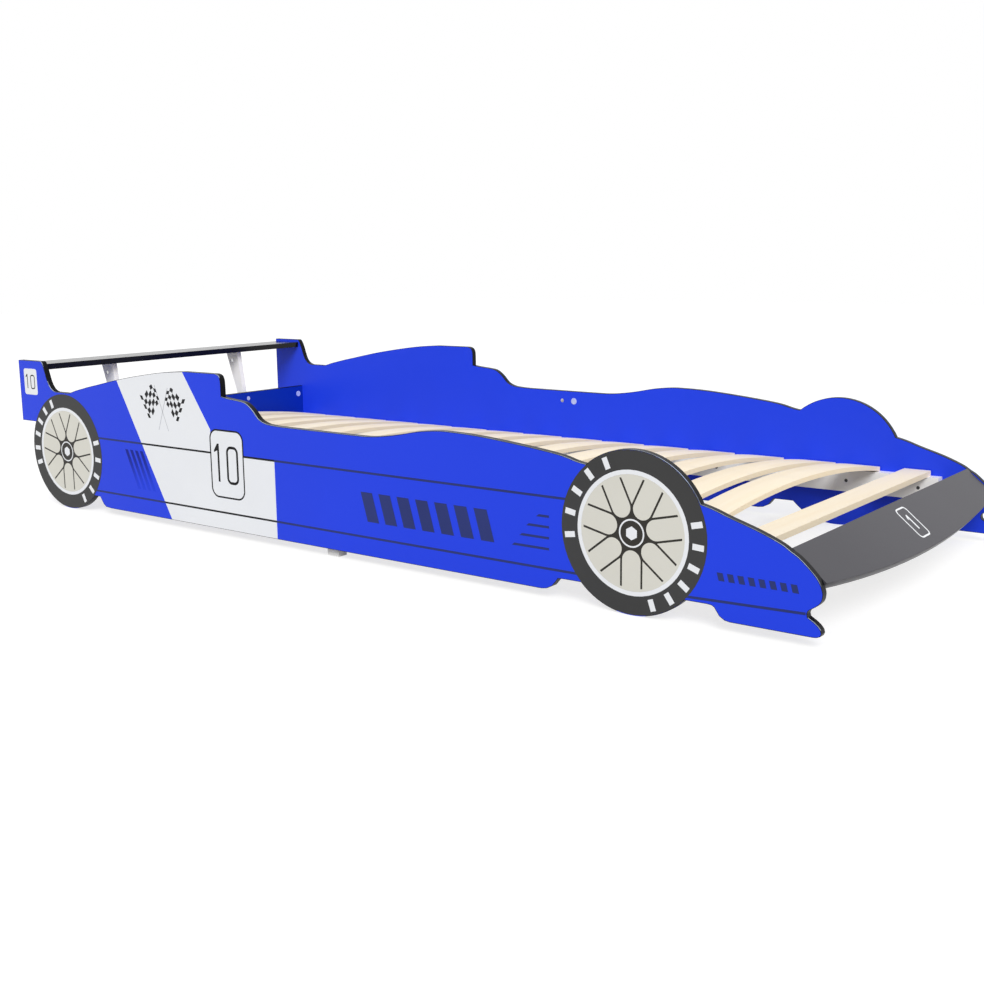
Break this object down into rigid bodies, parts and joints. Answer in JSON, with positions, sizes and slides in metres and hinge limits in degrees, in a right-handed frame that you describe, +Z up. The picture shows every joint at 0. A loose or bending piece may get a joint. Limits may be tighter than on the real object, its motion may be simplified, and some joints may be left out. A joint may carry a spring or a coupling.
{
  "type": "car bed for children",
  "caption": "Low racing-car-shaped bed frame for a child, with printed side panels, headboard, wing board, nose board and a bent-slat base.",
  "frame": {"origin": "middle of the bed's box on the floor", "axes": "+X along the bed from the wing to the nose, +Y to the left-hand panel of somebody lying with the head at the headboard, +Z up"},
  "size_m": [2.2745, 0.94, 0.38],
  "materials": {
    "blue_board": "satin printed blue foil on fibreboard",
    "black_edge_band": "gloss",
    "black_board": "gloss black foil on fibreboard",
    "white_board": "satin white foil",
    "slat_wood": "bare pale laminated wood",
    "grey_board": "satin dark grey foil on fibreboard",
    "grey_edge_band": "satin",
    "zinc": "zinc plated",
    "bolt_black": "satin black",
    "dowel_wood": "bare",
    "cap_plastic": "satin",
    "tyre_print": "satin film",
    "rim_print": "satin film",
    "spoke_print": "satin film",
    "white_print": "satin film",
    "navy_print": "satin film"
  },
  "bodies": {
    "root": {"panel_right_rear": "blue_board", "panel_right_front": "blue_board", "panel_left_rear": "blue_board", "panel_left_front": "blue_board", "headboard": "blue_board", "edging_right_rear": "black_edge_band", "edging_right_front": "black_edge_band", "edging_left_rear": "black_edge_band", "edging_left_front": "black_edge_band", "headboard_edging": "black_edge_band", "wing_board": "black_board", "wing_post_right": "white_board", "wing_post_left": "white_board", "rail_right": "white_board", "rail_left": "white_board", "leg_right": "white_board", "leg_left": "white_board", "nose_batten_right": "white_board", "nose_batten_left": "white_board", "slat_01": "slat_wood", "slat_02": "slat_wood", "slat_03": "slat_wood", "slat_04": "slat_wood", "slat_05": "slat_wood", "slat_06": "slat_wood", "slat_07": "slat_wood", "slat_08": "slat_wood", "slat_09": "slat_wood", "slat_10": "slat_wood", "slat_11": "slat_wood", "slat_12": "slat_wood", "slat_13": "slat_wood", "slat_14": "slat_wood", "slat_15": "slat_wood", "front_slat": "slat_wood", "nose_board": "grey_board", "nose_edging": "grey_edge_band", "cam_locks": "zinc", "cam_rods": "zinc", "rail_screws": "zinc", "leg_screws": "zinc", "post_screws": "zinc", "barrel_nuts": "zinc", "batten_screws": "zinc", "wing_bolts": "bolt_black", "dowels": "dowel_wood", "slat_pegs": "dowel_wood", "cover_caps": "cap_plastic", "tyre_prints": "tyre_print", "rim_prints": "rim_print", "spoke_prints": "spoke_print", "white_prints": "white_print", "nose_print": "white_print", "dark_prints": "navy_print"}
  },
  "joints": []
}
